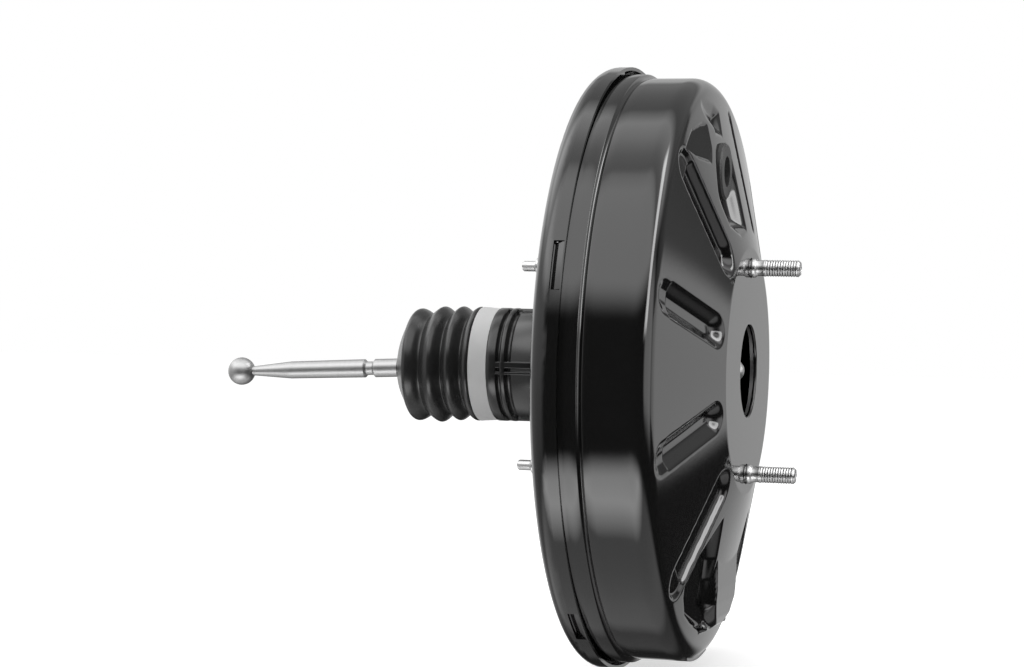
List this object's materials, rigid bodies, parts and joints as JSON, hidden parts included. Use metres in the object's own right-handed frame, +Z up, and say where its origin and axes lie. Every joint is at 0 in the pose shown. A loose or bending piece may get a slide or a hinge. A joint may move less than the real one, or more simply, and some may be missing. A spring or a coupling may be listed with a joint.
{
  "type": "brake booster",
  "caption": "Round vacuum brake booster: pressed black drum with stiffening beads, bulkhead studs, guide neck with rubber boot and a ball-ended pushrod.",
  "frame": {"origin": "on the booster's axis, in the flat rear face that bolts to the bulkhead", "axes": "+X along the axis towards the master cylinder, +Z up with the vacuum port above the axis, +Y to the far side in the picture"},
  "size_m": [0.2919, 0.291, 0.291],
  "materials": {
    "black_coat": "satin black electrocoat",
    "black_coat_rear": "satin black electrocoat",
    "plate_steel": "plain rolled steel",
    "zinc": "bright zinc plate",
    "steel": "turned steel",
    "spring_steel": "drawn wire and sheet",
    "seal_rubber": "smooth black rubber",
    "grommet_rubber": "smooth black rubber",
    "boot_rubber": "matte dark grey rubber",
    "sleeve_plastic": "glossy black",
    "housing_plastic": "pale phenolic moulding",
    "ring_plastic": "light grey",
    "filter_felt": "grey felt and foam"
  },
  "bodies": {
    "casing": {"front_shell": "black_coat", "rear_shell": "black_coat_rear", "front_plate": "plate_steel", "rear_plate": "plate_steel", "master_cylinder_studs": "zinc", "bulkhead_studs": "zinc", "vacuum_port_grommet": "grommet_rubber", "guide_sleeve": "sleeve_plastic", "guide_seal": "seal_rubber", "seal_retainer": "ring_plastic", "boot_ring": "ring_plastic", "dust_boot": "boot_rubber", "diaphragm": "seal_rubber", "return_spring": "spring_steel"},
    "power_piston": {"diaphragm_plate": "plate_steel", "diaphragm_retainer": "plate_steel", "control_housing": "housing_plastic", "stop_key": "steel", "reaction_disc": "seal_rubber", "output_rod": "steel", "output_tip": "steel", "output_rod_keeper": "steel", "control_valve": "seal_rubber", "valve_cup": "spring_steel", "valve_spring": "spring_steel", "rod_spring": "spring_steel", "silencer": "filter_felt", "air_filter": "filter_felt"},
    "plunger": {"valve_plunger": "steel"},
    "pushrod": {"input_rod": "steel", "rod_spring_cup": "spring_steel"}
  },
  "joints": [
    {"name": "assist_stroke", "type": "slide", "parent": "casing", "child": "power_piston", "axis": [1, 0, 0], "range_m": [0, 0.033], "stiffness_N_per_m": 6000, "springref_m": -0.01, "deforming": ["dust_boot", "diaphragm", "return_spring"]},
    {"name": "valve_stroke", "type": "slide", "parent": "power_piston", "child": "plunger", "axis": [1, 0, 0], "range_m": [0, 0.002], "stiffness_N_per_m": 4000, "springref_m": -0.005, "deforming": ["valve_spring", "rod_spring"]},
    {"name": "rod_tilt", "type": "hinge", "parent": "plunger", "child": "pushrod", "pos_m": [-0.03, 0, 0], "axis": [0, 1, 0], "range_deg": [-1.27, 6.73], "deforming": ["dust_boot", "rod_spring"]}
  ]
}
